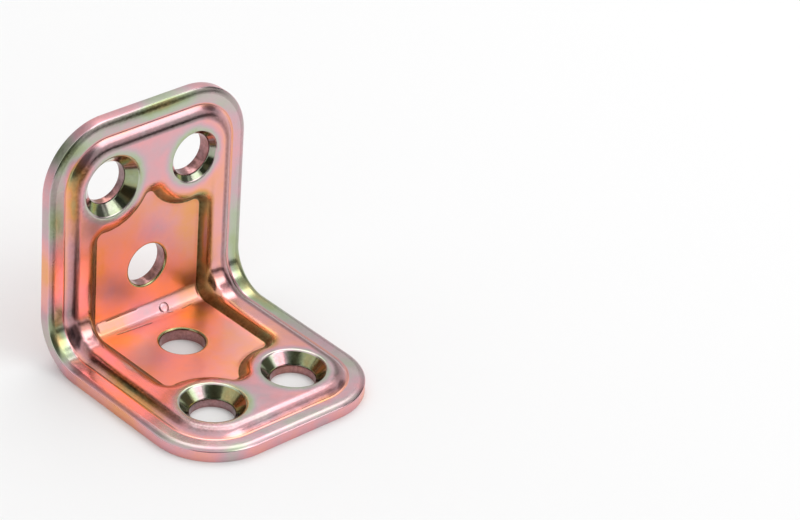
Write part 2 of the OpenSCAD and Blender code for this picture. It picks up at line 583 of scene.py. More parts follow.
def new_object(name: str, data: object) -> bpy.types.Object:
    """Puts data into the scene as an object.

    Args:
        name: name of the object.
        data: its mesh, light or camera.

    Returns:
        The object.
    """
    made = bpy.data.objects.new(name, data)
    bpy.context.scene.collection.objects.link(made)
    return made


@dataclass
class Skin:
    """Loose faces of the plate, gathered before they are welded."""

    points: list = field(default_factory=list)
    faces: list = field(default_factory=list)
    tones: list = field(default_factory=list)
    darks: list = field(default_factory=list)

    def add(self, points: np.ndarray, faces: list, tones: np.ndarray, darks: np.ndarray) -> None:
        """Adds a patch.

        Args:
            points: rows of places.
            faces: corners of each face, as row numbers.
            tones: one tone for each point.
            darks: painted shade of each point.
        """
        start = len(self.points)
        self.points.extend(map(tuple, points))
        self.tones.extend(map(float, tones))
        self.darks.extend(map(float, darks))
        self.faces.extend([start + corner for corner in face] for face in faces)


@dataclass(frozen=True)
class ToolMark:
    """A crease left by the bending tool: its ends, place, drift, depth and width, a lip beside it, and
    painted shade along its bottom.
    """

    first: float
    last: float
    place: float
    drift: float
    depth: float
    width: float
    end_fade: float = 0.4
    lip_away: float = 1.8
    lip_share: float = 0.5
    # Strength of the painted shade along the crease's bottom.
    painted_shade_depth: float = 0.75

    def away(self, x: np.ndarray, t: np.ndarray) -> tuple[np.ndarray, np.ndarray]:
        """Distances from the crease, and how far its ends let it show.

        Args:
            x: places along the bend.
            t: distances from the middle of the bend.

        Returns:
            Distances in widths of the crease, and shares from 0 to 1.
        """
        middle = self.place + self.drift * (x - self.first) / (self.last - self.first)
        starts, ends = (np.clip(gap / self.end_fade, 0, 1) for gap in (x - self.first, self.last - x))
        return (t - middle) / self.width, starts * ends

    def height(self, x: np.ndarray, t: np.ndarray) -> np.ndarray:
        """Height that the crease adds, a sunk line with a fine lip on one side.

        Args:
            x: places along the bend.
            t: distances from the middle of the bend.

        Returns:
            Heights towards the inside of the bend.
        """
        away, shown = self.away(x, t)
        lip = self.lip_share * np.exp(-(away - self.lip_away) ** 2)
        return self.depth * shown * (lip - np.exp(-away ** 2))

    def dark(self, x: np.ndarray, t: np.ndarray) -> np.ndarray:
        """Painted shade along the bottom of the crease."""
        away, shown = self.away(x, t)
        return self.painted_shade_depth * shown * np.exp(-away ** 2)


@dataclass
class PressMarks:
    """The flattened strip, the pip and the creases in the bend of the recess floor."""

    strip_middle: float = 0.42
    strip_half: float = 1.0
    strip_round: float = 0.012
    strip_fade: float = 0.45
    strip_soften: float = 15.0
    soften_from: float = -0.2
    pip_place: tuple = (2.9, -0.1)
    pip_radius: float = 0.88
    pip_height: float = 0.16
    pip_flatness: int = 6
    # Width and strength of the painted shade line round the pip.
    pip_line: float = 0.09
    pip_painted_shade: float = 0.45
    creases: tuple = (
        ToolMark(-8.2, -1.7, 1.22, 0.02, 0.05, 0.1),
        ToolMark(-7.4, -0.3, -1.45, -0.4, 0.05, 0.1),
        ToolMark(5.6, 8.2, -1.4, 0.2, 0.04, 0.09),
        ToolMark(3.0, 4.3, -1.0, -0.35, 0.04, 0.1),
    )

    def from_pip(self, x: np.ndarray, t: np.ndarray) -> np.ndarray:
        """Distances from the middle of the pip."""
        return np.hypot(x - self.pip_place[0], t - self.pip_place[1])

    def strip(self, x: np.ndarray, t: np.ndarray, radius: float, half_width: float) -> np.ndarray:
        """Height of the flattened strip, which is crisp on the left and softer on the right.

        Args:
            x: places along the bend.
            t: distances from the middle of the bend.
            radius: radius of the floor's bend.
            half_width: half of the floor's width.

        Returns:
            Heights towards the inside of the bend.
        """
        turn = np.clip(np.abs(t - self.strip_middle) / radius, 0, 1)
        chord = radius - radius * math.cos(self.strip_half / radius) / np.cos(turn)
        soft = self.strip_round * (1 + self.strip_soften * np.clip(x / half_width - self.soften_from, 0, 1))
        ends = np.clip((half_width - np.abs(x)) / self.strip_fade, 0, 1)
        return (chord + np.sqrt(chord ** 2 + soft ** 2) - soft) / 2 * ends ** 2 * (3 - 2 * ends)

    def height(self, x: np.ndarray, t: np.ndarray, radius: float, half_width: float) -> np.ndarray:
        """Height of all marks over the bent floor.

        Args:
            x: places along the bend.
            t: distances from the middle of the bend.
            radius: radius of the floor's bend.
            half_width: half of the floor's width.

        Returns:
            Heights towards the inside of the bend.
        """
        dome = 1 - np.clip(self.from_pip(x, t) / self.pip_radius, 0, 1) ** self.pip_flatness
        creases = sum(mark.height(x, t) for mark in self.creases)
        return self.strip(x, t, radius, half_width) + self.pip_height * dome + creases

    def dark(self, x: np.ndarray, t: np.ndarray) -> np.ndarray:
        """Painted shade in the creases and along a line round the pip's foot.

        Args:
            x: places along the bend.
            t: distances from the middle of the bend.

        Returns:
            Shares from 0 to 1.
        """
        ring = (self.from_pip(x, t) - self.pip_radius) / self.pip_line
        creases = sum(mark.dark(x, t) for mark in self.creases)
        return np.clip(creases + self.pip_painted_shade * np.exp(-ring ** 2), 0, 1)


@dataclass
class Plate:
    """The whole bracket as one closed mesh."""

    sheet: Sheet
    recess: Recess
    holes: Holes
    marks: PressMarks
    shade: PaintedShade = PaintedShade()
    fine_step: float = 0.1
    front_step: float = 0.42
    back_step: float = 0.7
    fine_reach: float = 1.2
    fine_inset: float = 0.3
    clearance: float = 0.45
    fine_clearance: float = 0.25
    border_parts: int = 4
    sharp_angle: float = 38.0

    def __post_init__(self) -> None:
        """Works out the levels of the sheet, its two outlines and the places of its holes."""
        sheet, recess, holes = self.sheet, self.recess, self.holes
        heel = sheet.heel_radius
        self.top = Level(heel, heel - sheet.rib_level, heel)
        self.channel = Level(heel, heel - sheet.rib_rise, heel)
        self.floor = Level(recess.heel_radius, recess.heel_radius - sheet.thickness, heel)
        self.under = Level(recess.heel_radius, recess.heel_radius, heel)
        self.back = Level(heel, heel, heel)
        self.hole_line = sheet.length - holes.margin
        self.outer, self.inner = self.outline(), self.recess_line()
        self.screws = [(side * holes.half_spacing, self.hole_line, flange)
                       for flange in Flange for side in (-1, 1)]
        self.middles = [(0, holes.middle_height, flange) for flange in Flange]
        self.skin = Skin()
        self.strips = StripTree("pressed_strip")

    def outline(self) -> Stations:
        """Lays out the outer edge of the plate.

        Returns:
            Its stations, with the profile running inwards.
        """
        size = self.sheet
        half, corner = size.width / 2, size.corner_radius
        centre = (half - corner, size.length - corner)
        parts = [
            line_points((0, size.length), (centre[0], size.length), (0, -1), size.step),
            arc_points(centre, corner, QUARTER, 0, size.arc_steps, -1),
            line_points((half, centre[1]), (half, size.heel_radius), (-1, 0), size.step),
            np.array([[half, size.heel_radius, -1, 0]]),
        ]
        return Stations.around(np.vstack(parts), size.heel_radius, size.bend_steps)

    def recess_line(self) -> Stations:
        """Lays out the edge of the recess floor, made of tangent arcs.

        Returns:
            Its stations, with the profile running outwards.
        """
        size, hole = self.recess, (self.holes.half_spacing, self.hole_line)
        peak_reach = size.arc_radius + size.peak_radius
        peak = (0.0, hole[1] - math.sqrt(peak_reach ** 2 - hole[0] ** 2))
        corner_x = size.half_width - size.corner_radius
        corner_reach = size.arc_radius + size.corner_radius
        corner = (corner_x, hole[1] - math.sqrt(corner_reach ** 2 - (hole[0] - corner_x) ** 2))
        to_hole = math.atan2(hole[1] - peak[1], hole[0] - peak[0])
        rise = math.atan2(hole[1] - corner[1], hole[0] - corner[0])
        edge = (size.half_width, corner[1])
        parts = [
            arc_points(peak, size.peak_radius, QUARTER, to_hole, size.corner_steps, 1),
            arc_points(hole, size.arc_radius, to_hole + math.pi, rise + math.pi, size.arc_steps, -1),
            arc_points(corner, size.corner_radius, rise, 0, size.corner_steps, 1),
            line_points(edge, (size.half_width, self.sheet.heel_radius), (1, 0), self.sheet.step),
            np.array([[size.half_width, self.sheet.heel_radius, 1, 0]]),
        ]
        return Stations.around(np.vstack(parts), self.sheet.heel_radius, self.sheet.bend_steps)

    def edge_profile(self) -> Profile:
        """Profile from the channel behind the rib, round the cut edge and up to the rib's top.

        Returns:
            The profile, by distance from the edge and height.
        """
        size, shade = self.sheet, self.shade
        channel = slope_profile((size.channel_end, size.rib_rise), (size.channel_start, 0), size.back_round,
                                size.back_round, size.break_steps)
        burr = round_profile((size.burr_radius, size.burr_radius), size.burr_radius, DOWN, LEFT,
                             size.burr_steps)
        radius, small = size.edge_roll / math.sin(math.radians(size.edge_angle)), size.edge_break
        centre = size.thickness - radius
        lift = math.sqrt((radius - small) ** 2 - (size.edge_roll - small) ** 2)
        tilt = math.degrees(math.atan2(lift, small - size.edge_roll))
        corner = round_profile((small, centre + lift), small, LEFT, tilt, size.break_steps)
        roll = round_profile((size.edge_roll, centre), radius, tilt, UP, size.roll_steps)[1:]
        rim = [(size.edge_roll + (size.rim_width - size.edge_roll) * share, size.thickness)
               for share in size.rim_shares]
        shoulder = slope_profile((size.rim_width, size.thickness), (size.rib_start, size.rib_level),
                                 size.foot_radius, size.crest_radius, size.shoulder_steps)
        foot, slope, crest = size.shoulder_zones
        # Painted dark reflection on the rolled edge and the rib's crest, and painted shade in the shoulder's
        # foot.
        made = Profile().add(channel + burr[:1], Tone.BACK).add(burr[1:] + corner[:1], Tone.CUT)
        made.add(corner[1:], Tone.GLINT, shade.glint).add(roll[:-1], Tone.EDGE, shade.edge)
        made.add(roll[-1:] + rim, Tone.RIM).add(shoulder[:foot], Tone.FOOT, shade.foot)
        made.add(shoulder[foot:slope], Tone.SHOULDER).add(shoulder[slope:crest], Tone.CREST, shade.crest)
        return made.add(shoulder[crest:], Tone.CREST, shade.crest_end, Tone.PLATEAU)

    def wall_profile(self, run: float, foot: float, crest: float, tone: Tone) -> Profile:
        """Profile of a recess wall, in shares of its run and rise.

        Args:
            run: width of the wall on the flanges.
            foot: radius at its foot.
            crest: radius at its crest.
            tone: tone of the wall.

        Returns:
            The profile.
        """
        size, shade, rise = self.recess, self.shade, self.sheet.rib_rise
        slope = slope_profile((0, 0), (run, rise), foot, crest, size.wall_steps)
        points = [(u / run, n / rise) for u, n in slope]
        if tone is not Tone.WALL:
            return Profile().add(points, tone)
        first, last = size.wall_zones
        # Painted shade down the recess wall, deepest along its foot.
        made = Profile().add([(-size.foot_band / run, 0)], Tone.RECESS)
        made.add(points[:first], tone, shade.wall_foot).add(points[first:last], tone, shade.wall)
        return made.add(points[last:], tone, shade.wall_crest, Tone.PLATEAU)

    def screw_profile(self, mouth: float) -> Profile:
        """Profile of a countersunk hole, from the rib's top through to the channel behind it.

        Args:
            mouth: radius of the countersink at the rib's top.

        Returns:
            The profile, by distance from the axis and height.
        """
        size, shade, top = self.holes, self.shade, self.sheet.rib_level
        tangent, slant = size.mouth_roll * math.tan(QUARTER / 4), (UP + LEFT) / 2
        lip = round_profile((mouth + tangent, top - size.mouth_roll), size.mouth_roll, UP, slant,
                            size.lip_steps)
        throat = top - mouth + size.screw_radius
        first, last = lip[-1], (size.screw_radius + size.throat_break, throat + size.throat_break)
        count = size.turned_rings * size.ring_steps
        cone = []
        for share in (i / count for i in range(1, count + 1)):
            wave = math.sin(TURN * size.turned_rings * share) * math.sin(math.pi * share)
            cone.append(tuple(a + (b - a) * share + size.ring_depth * wave for a, b in zip(first, last)))
        bore = [(size.screw_radius, throat - size.throat_break * size.throat_slant),
                (size.screw_radius, size.back_break)]
        boss = [(size.screw_radius + size.back_break, 0), (size.boss_radius, 0),
                (size.foot_radius, self.sheet.rib_rise)]
        # Painted shade on the turned cone and in the bore.
        made = Profile().add(lip, Tone.LIP).add(cone, Tone.CONE, shade.cone)
        return made.add(bore, Tone.BORE, shade.bore).add(boss, Tone.BACK)

    def middle_profile(self) -> Profile:
        """Profile of a plain hole, from the recess floor to the back.

        Returns:
            The profile, by distance from the axis and height.
        """
        size, shade, top, radius = self.holes, self.shade, self.sheet.thickness, self.holes.middle_radius
        lip = round_profile((radius + size.middle_roll, top - size.middle_roll), size.middle_roll, UP, LEFT,
                            size.roll_steps)
        # Painted shade at the hole's mouth and in its bore.
        made = Profile().add(lip[:1], Tone.RECESS).add(lip[1:-2], Tone.MOUTH, shade.mouth)
        made.add(lip[-2:] + [(radius, top / 2), (radius, size.back_break)], Tone.BORE, shade.bore)
        return made.add([(radius + size.back_break, 0)], Tone.BACK)

    def carry(self, base: np.ndarray, across: np.ndarray, rise: np.ndarray, profile: Profile,
              finish: bpy.types.Material) -> None:
        """Runs the strip tree on a closed line and adds the result to the skin.

        Args:
            base: points of the line.
            across: direction of the profile's first coordinate at each point.
            rise: direction of the profile's second coordinate at each point.
            profile: the profile.
            finish: material of the strip.
        """
        closed = np.append(np.arange(len(base)), 0)
        line, section = bpy.data.meshes.new("stations"), bpy.data.meshes.new("profile")
        line.from_pydata(base[closed].tolist(), [], [])
        write_layers(line, {"across": across[closed], "rise": rise[closed]})
        section.from_pydata([(u, n, 0) for u, n in profile.points], [], [])
        write_layers(section, dict(zip(ZONE_LAYERS, (profile.tones, profile.darks))))
        carrier, guide = new_object("stations", line), new_object("profile", section)
        strip = carrier.modifiers.new("strip", "NODES")
        strip.node_group = self.strips.tree
        strip[self.strips.profile_id] = guide
        strip[self.strips.weld_id] = STRIP_WELD
        strip[self.strips.material_id] = finish
        graph = bpy.context.evaluated_depsgraph_get()
        result = bpy.data.meshes.new_from_object(carrier.evaluated_get(graph))
        faces = [list(face.vertices) for face in result.polygons]
        self.skin.add(read_places(result), faces, *(read_layer(result, name) for name in ZONE_LAYERS))
        for made in (carrier, guide):
            bpy.data.objects.remove(made)
        for mesh in (line, section, result):
            bpy.data.meshes.remove(mesh)

    def hole_place(self, level: Level, x: float, s: float, flange: Flange) -> tuple[float, float]:
        """Flat coordinates on a level of a point at distance s from the heel."""
        return x, flange.value * (level.reach + s - self.sheet.heel_radius)

    def circle(self, level: Level, place: tuple, radius: float) -> np.ndarray:
        """A circle round a hole's axis.

        Args:
            level: level of the sheet.
            place: place of the axis along the bend, its distance from the heel, and its flange.
            radius: radius of the circle.

        Returns:
            Rows of the level's flat coordinates.
        """
        angle = np.linspace(0, TURN, self.holes.segments, endpoint=False)
        ring = np.stack([np.cos(angle), np.sin(angle)], axis=1)
        return np.array(self.hole_place(level, *place)) + radius * ring

    def run_hole(self, place: tuple, profile: Profile, finish: bpy.types.Material) -> None:
        """Carries a hole's profile round its axis.

        Args:
            place: place of the axis along the bend, its distance from the heel, and its flange.
            profile: the profile.
            finish: material of the hole.
        """
        x, t = self.hole_place(self.back, *place)
        middle, up = self.back.place(np.array([x]), np.array([t]))
        rim = self.back.place(*self.circle(self.back, place, 1.0).T)[0] - middle
        self.carry(np.repeat(middle, len(rim), axis=0), rim, np.repeat(up, len(rim), axis=0), profile, finish)

    def run_edges(self, finish: bpy.types.Material) -> None:
        """Carries the profile of the outer edge and those of the recess's walls.

        Args:
            finish: material of the plate.
        """
        recess, outer, inner = self.recess, self.outer, self.inner
        up = self.back.place(outer.x, self.back.along(outer.q, outer.turn))[1]
        self.carry(outer.on(self.back, 0), outer.across(), up, self.edge_profile(), finish)
        front, back = (recess.foot_radius, recess.crest_radius), (self.sheet.back_round,) * 2
        for lower, upper, start, run, rounds, tone in (
            (self.floor, self.top, 0, recess.slope, front, Tone.WALL),
            (self.under, self.channel, recess.back_start(self.sheet), recess.back_slope, back, Tone.BACK),
        ):
            base, end = inner.on(lower, start), inner.on(upper, start + run)
            self.carry(base, run * inner.across(), end - base - run * inner.across(),
                       self.wall_profile(run, *rounds, tone), finish)

    def inner_points(self, level: Level, loops: list[np.ndarray], step: float, fine: bool) -> np.ndarray:
        """Points inside an area, clear of its border.

        Args:
            level: level of the sheet.
            loops: closed lines in flat coordinates.
            step: distance between the points.
            fine: whether the bend is filled finely.

        Returns:
            Rows of flat coordinates.
        """
        edge = np.vstack(loops)
        low, high = edge.min(axis=0), edge.max(axis=0)
        inner = grid_points(low, high, step)
        if fine:
            reach = level.half_turn + self.fine_reach
            wide = np.array([high[0] - self.fine_inset, reach])
            inner = np.vstack([inner[np.abs(inner[:, 1]) > reach], grid_points(-wide, wide, self.fine_step)])
        inner = inner[inside(inner, loops)]
        border = np.vstack([loop + (np.roll(loop, -1, axis=0) - loop) * part / self.border_parts
                            for loop in loops for part in range(self.border_parts)])
        gaps = np.array([np.min(np.sum((border - point) ** 2, axis=1)) for point in inner])
        return inner[gaps > ((self.fine_clearance if fine else self.clearance) * step) ** 2]

    def fill(self, level: Level, loops: list[np.ndarray], step: float, tone: Tone,
             marks: PressMarks | None = None) -> None:
        """Fills a level between closed lines with a fine triangle mesh.

        Args:
            level: level of the sheet.
            loops: closed lines in flat coordinates; what lies inside an even number of them stays open.
            step: distance between inner points.
            tone: tone of the area.
            marks: marks that raise or sink the area, if it has any.
        """
        edge, links = np.vstack(loops), []
        for loop in loops:
            ids = np.arange(len(loop)) + len(links)
            links.extend(zip(ids.tolist(), np.roll(ids, -1).tolist()))
        every = np.vstack([edge, self.inner_points(level, loops, step, marks is not None)])
        result = delaunay_2d_cdt([Vector(point) for point in every], links, [], 0, FILL_TOLERANCE)
        source = np.array([given[0] for given in result[3]])
        flat, faces = every[source], np.array(result[2])
        faces = faces[inside(flat[faces].mean(axis=1), loops)]
        points, normals = level.place(*flat.T)
        darks = np.zeros(len(points))
        if marks is not None:
            free = source >= len(edge)
            points += normals * (marks.height(*flat.T, level.radius, self.recess.half_width) * free)[:, None]
            # Painted shade in the creases and round the pip.
            darks = marks.dark(*flat.T) * free
        self.skin.add(points, faces.tolist(), np.full(len(points), tone.value), darks)

    def build(self, finish: bpy.types.Material) -> bpy.types.Object:
        """Makes all surfaces, welds them and returns the plate.

        Args:
            finish: material of the plate.

        Returns:
            The finished object, closed, in metres.
        """
        size, recess, holes, plain = self.sheet, self.recess, self.holes, self.middle_profile()
        self.run_edges(finish)
        mouths = []
        for place in self.screws:
            small = place[0] > 0 and place[2] is Flange.UPRIGHT
            profile = self.screw_profile(holes.small_mouth_radius if small else holes.mouth_radius)
            mouths.append(profile.points[0][0])
            self.run_hole(place, profile, finish)
        for place in self.middles:
            self.run_hole(place, plain, finish)
        back_start, feet = recess.back_start(size), [holes.foot_radius] * len(self.screws)
        for level, outside, inset, radii, step, tone in (
            (self.top, size.rib_start, recess.slope, mouths, self.front_step, Tone.PLATEAU),
            (self.channel, size.channel_end, back_start + recess.back_slope, feet, self.back_step, Tone.BACK),
        ):
            loops = [self.outer.flat(level, outside), self.inner.flat(level, inset)]
            loops += [self.circle(level, place, radius) for place, radius in zip(self.screws, radii)]
            self.fill(level, loops, step, tone)
        for level, inset, end, step, tone, marks in (
            (self.floor, -recess.foot_band, 0, self.front_step, Tone.RECESS, self.marks),
            (self.under, back_start, -1, self.back_step, Tone.BACK, None),
        ):
            loops = [self.inner.flat(level, inset)]
            loops += [self.circle(level, place, plain.points[end][0]) for place in self.middles]
            self.fill(level, loops, step, tone, marks)
        return self.weld(finish)

    def weld(self, finish: bpy.types.Material) -> bpy.types.Object:
        """Joins the gathered faces into one closed mesh and places it in the frame's metres.

        Args:
            finish: material of the plate.

        Returns:
            The plate's object.
        """
        mesh = bpy.data.meshes.new("bracket_plate")
        mesh.from_pydata(self.skin.points, [], self.skin.faces)
        write_layers(mesh, dict(zip(ZONE_LAYERS, (self.skin.tones, self.skin.darks))))
        shape = bmesh.new()
        shape.from_mesh(mesh)
        bmesh.ops.remove_doubles(shape, verts=shape.verts, dist=WELD)
        bmesh.ops.dissolve_degenerate(shape, edges=shape.edges, dist=SLIVER)
        bmesh.ops.recalc_face_normals(shape, faces=shape.faces)
        if shape.calc_volume(signed=True) < 0:
            bmesh.ops.reverse_faces(shape, faces=shape.faces)
        loose = sum(not edge.is_manifold for edge in shape.edges)
        LOG.info("plate: %d faces, %d open edges, %.1f mm3", len(shape.faces), loose, shape.calc_volume())
        shape.to_mesh(mesh)
        shape.free()
        places = read_places(mesh) + np.array([0, self.sheet.length / 2, 0])
        mesh.vertices.foreach_set("co", (places * MM).astype(np.float32).ravel())
        mesh.polygons.foreach_set("use_smooth", [True] * len(mesh.polygons))
        mesh.set_sharp_from_angle(angle=math.radians(self.sharp_angle))
        mesh.materials.append(finish)
        mesh.update()
        return new_object("bracket_plate", mesh)


def grid_points(low: np.ndarray, high: np.ndarray, step: float) -> np.ndarray:
    """Points of a grid that fills a box, every other row shifted by half a step.

    Args:
        low: lowest corner of the box.
        high: highest corner of the box.
        step: distance between points in a row.

    Returns:
        Rows of flat coordinates.
    """
    rows = np.arange(low[1], high[1] + step, step * ROW_SHARE)
    columns = np.arange(low[0], high[0] + step, step)
    x, t = np.meshgrid(columns, rows)
    x[1::2] += step / 2
    return np.stack([x.ravel(), t.ravel()], axis=1)


def inside(points: np.ndarray, loops: list[np.ndarray]) -> np.ndarray:
    """Says which points lie inside an odd number of closed lines.

    Args:
        points: rows of flat coordinates.
        loops: closed lines.

    Returns:
        One truth value for each point.
    """
    odd = np.zeros(len(points), bool)
    x, y = points.T
    for loop in loops:
        after = np.roll(loop, -1, axis=0)
        for (x0, y0), (x1, y1) in zip(loop, after):
            if y0 != y1:
                spans = (y0 > y) != (y1 > y)
                odd ^= spans & (x < (x1 - x0) * (y - y0) / (y1 - y0) + x0)
    return odd


@dataclass(frozen=True)
class Cloud:
    """A layer of noise in a finish: its scale, detail and roughness, and how much it changes."""

    scale: float
    detail: float
    roughness: float
    amount: float

    def lay(self, tree: bpy.types.NodeTree, place: bpy.types.NodeSocket) -> bpy.types.NodeSocket:
        """Adds the layer to a material.

        Args:
            tree: node tree of the material.
            place: coordinates that the layer follows.

        Returns:
            The layer's value, centred on zero.
        """
        inputs = {"Vector": place, "Scale": self.scale, "Detail": self.detail, "Roughness": self.roughness}
        noise = add_node(tree, "ShaderNodeTexNoise", inputs).outputs["Fac"]
        return add_math(tree, "MULTIPLY", add_math(tree, "SUBTRACT", noise, NOISE_MEAN), self.amount)


@dataclass(frozen=True)
class Passivate:
    """Coloured zinc passivate: the run of film colours, the dark brown that painted shade mixes in, and how
    glossy and uneven it is.
    """

    roughness: float = 0.21
    dull_more: float = 0.14
    coat: float = 0.25
    coat_roughness: float = 0.12
    # Dark brown that the painted shade mixes into the film colour.
    painted_shade_colour: tuple = (0.1, 0.08, 0.03, 1)
    drifts: tuple = (Cloud(150, 2, 0.5, 0.44), Cloud(700, 3, 0.6, 0.16), Cloud(3200, 1, 0.5, 0.02))
    # Noise that breaks up the painted shade.
    speckle: Cloud = Cloud(1900, 2, 0.6, 1.0)
    smears: Cloud = Cloud(400, 2, 0.5, 0.12)
    ripples: tuple = (Cloud(240, 2, 0.5, 1.0), Cloud(2200, 2, 0.6, 0.1))
    ripple_height: float = 0.00004
    colours: tuple = (
        (0.00, (0.64, 0.43, 0.47)),
        (0.10, (0.80, 0.40, 0.43)),
        (0.20, (0.88, 0.41, 0.36)),
        (0.30, (0.91, 0.41, 0.27)),
        (0.42, (0.91, 0.42, 0.15)),
        (0.52, (0.70, 0.45, 0.19)),
        (0.62, (0.50, 0.46, 0.22)),
        (0.72, (0.42, 0.49, 0.28)),
        (0.82, (0.48, 0.53, 0.40)),
        (0.92, (0.56, 0.48, 0.46)),
        (1.00, (0.64, 0.43, 0.47)),
    )

    def fill_run(self, ramp: bpy.types.ColorRamp) -> None:
        """Sets a colour ramp to the run of film colours.

        Args:
            ramp: the ramp, with its two elements at the ends.
        """
        for position, _ in self.colours[1:-1]:
            ramp.elements.new(position)
        for element, (_, colour) in zip(ramp.elements, self.colours):
            element.color = (*colour, 1)

    def material(self) -> bpy.types.Material:
        """Builds the material.

        Returns:
            A metal whose colour follows the film's tone and a few layers of noise, darkened by the painted
            shade.
        """
        made = bpy.data.materials.new(SLOT)
        made.use_nodes = True
        tree = made.node_tree
        place = add_node(tree, "ShaderNodeTexCoord").outputs["Object"]
        film, dark, dull = (add_node(tree, "ShaderNodeAttribute", attribute_name=name).outputs["Fac"]
                            for name in ("film", "dark", "dull"))
        tone = add_sum(tree, film, *(cloud.lay(tree, place) for cloud in self.drifts))
        run = add_node(tree, "ShaderNodeValToRGB", {"Fac": add_math(tree, "FRACT", tone)})
        self.fill_run(run.color_ramp)
        # Painted shade: the film colour is multiplied towards the dark brown, unevenly.
        share = add_math(tree, "MULTIPLY", dark, add_sum(tree, self.speckle.lay(tree, place), 1.0))
        parts = {MIX_SHARE: share, MIX_FIRST: run.outputs["Color"], MIX_SECOND: self.painted_shade_colour}
        colour = add_node(tree, "ShaderNodeMix", parts, data_type="RGBA",
                          blend_type="MULTIPLY").outputs[MIX_RESULT]
        duller = add_math(tree, "MULTIPLY", dull, self.dull_more)
        gloss = add_sum(tree, self.smears.lay(tree, place), duller, self.roughness)
        relief = add_sum(tree, *(cloud.lay(tree, place) for cloud in self.ripples))
        bump = add_node(tree, "ShaderNodeBump",
                        {"Height": relief, "Strength": 1.0, "Distance": self.ripple_height})
        feed(tree, tree.nodes["Principled BSDF"], {
            "Metallic": 1.0, "Base Color": colour, "Roughness": gloss, "Coat Weight": self.coat,
            "Coat Roughness": self.coat_roughness, "Normal": bump.outputs["Normal"],
        })
        return made


@dataclass(frozen=True)
class TintSpot:
    """A soft area of a flange where the film differs: its place, half sizes, tone shift, and painted shade,
    which below 0 clears the zone's.
    """

    x: float
    s: float
    wide: float
    long: float
    shift: float
    dark: float = 0.0

    def near(self, x: np.ndarray, s: np.ndarray) -> np.ndarray:
        """How strongly the spot shows at places of its flange, from 0 to 1."""
        return np.exp(-((x - self.x) / self.wide) ** 2 - ((s - self.s) / self.long) ** 2)


@dataclass(frozen=True)
class ConeSector:
    """A share of a flange's turned cones, by its angle from the X axis in degrees: a tone shift, partly film
    colour and partly painted reflection, and painted shade.
    """

    angle: float
    spread: float
    shift: float
    dark: float = 0.0

    def near(self, angle: np.ndarray) -> np.ndarray:
        """How strongly the sector shows at angles round a hole, from 0 to 1."""
        return np.exp(-(((angle - self.angle + 180) % 360 - 180) / self.spread) ** 2)


def in_zones(tones: np.ndarray, *zones: Tone) -> np.ndarray:
    """Says which points carry the tone of one of the zones."""
    return np.any([np.isclose(tones, zone.value) for zone in zones], axis=0)


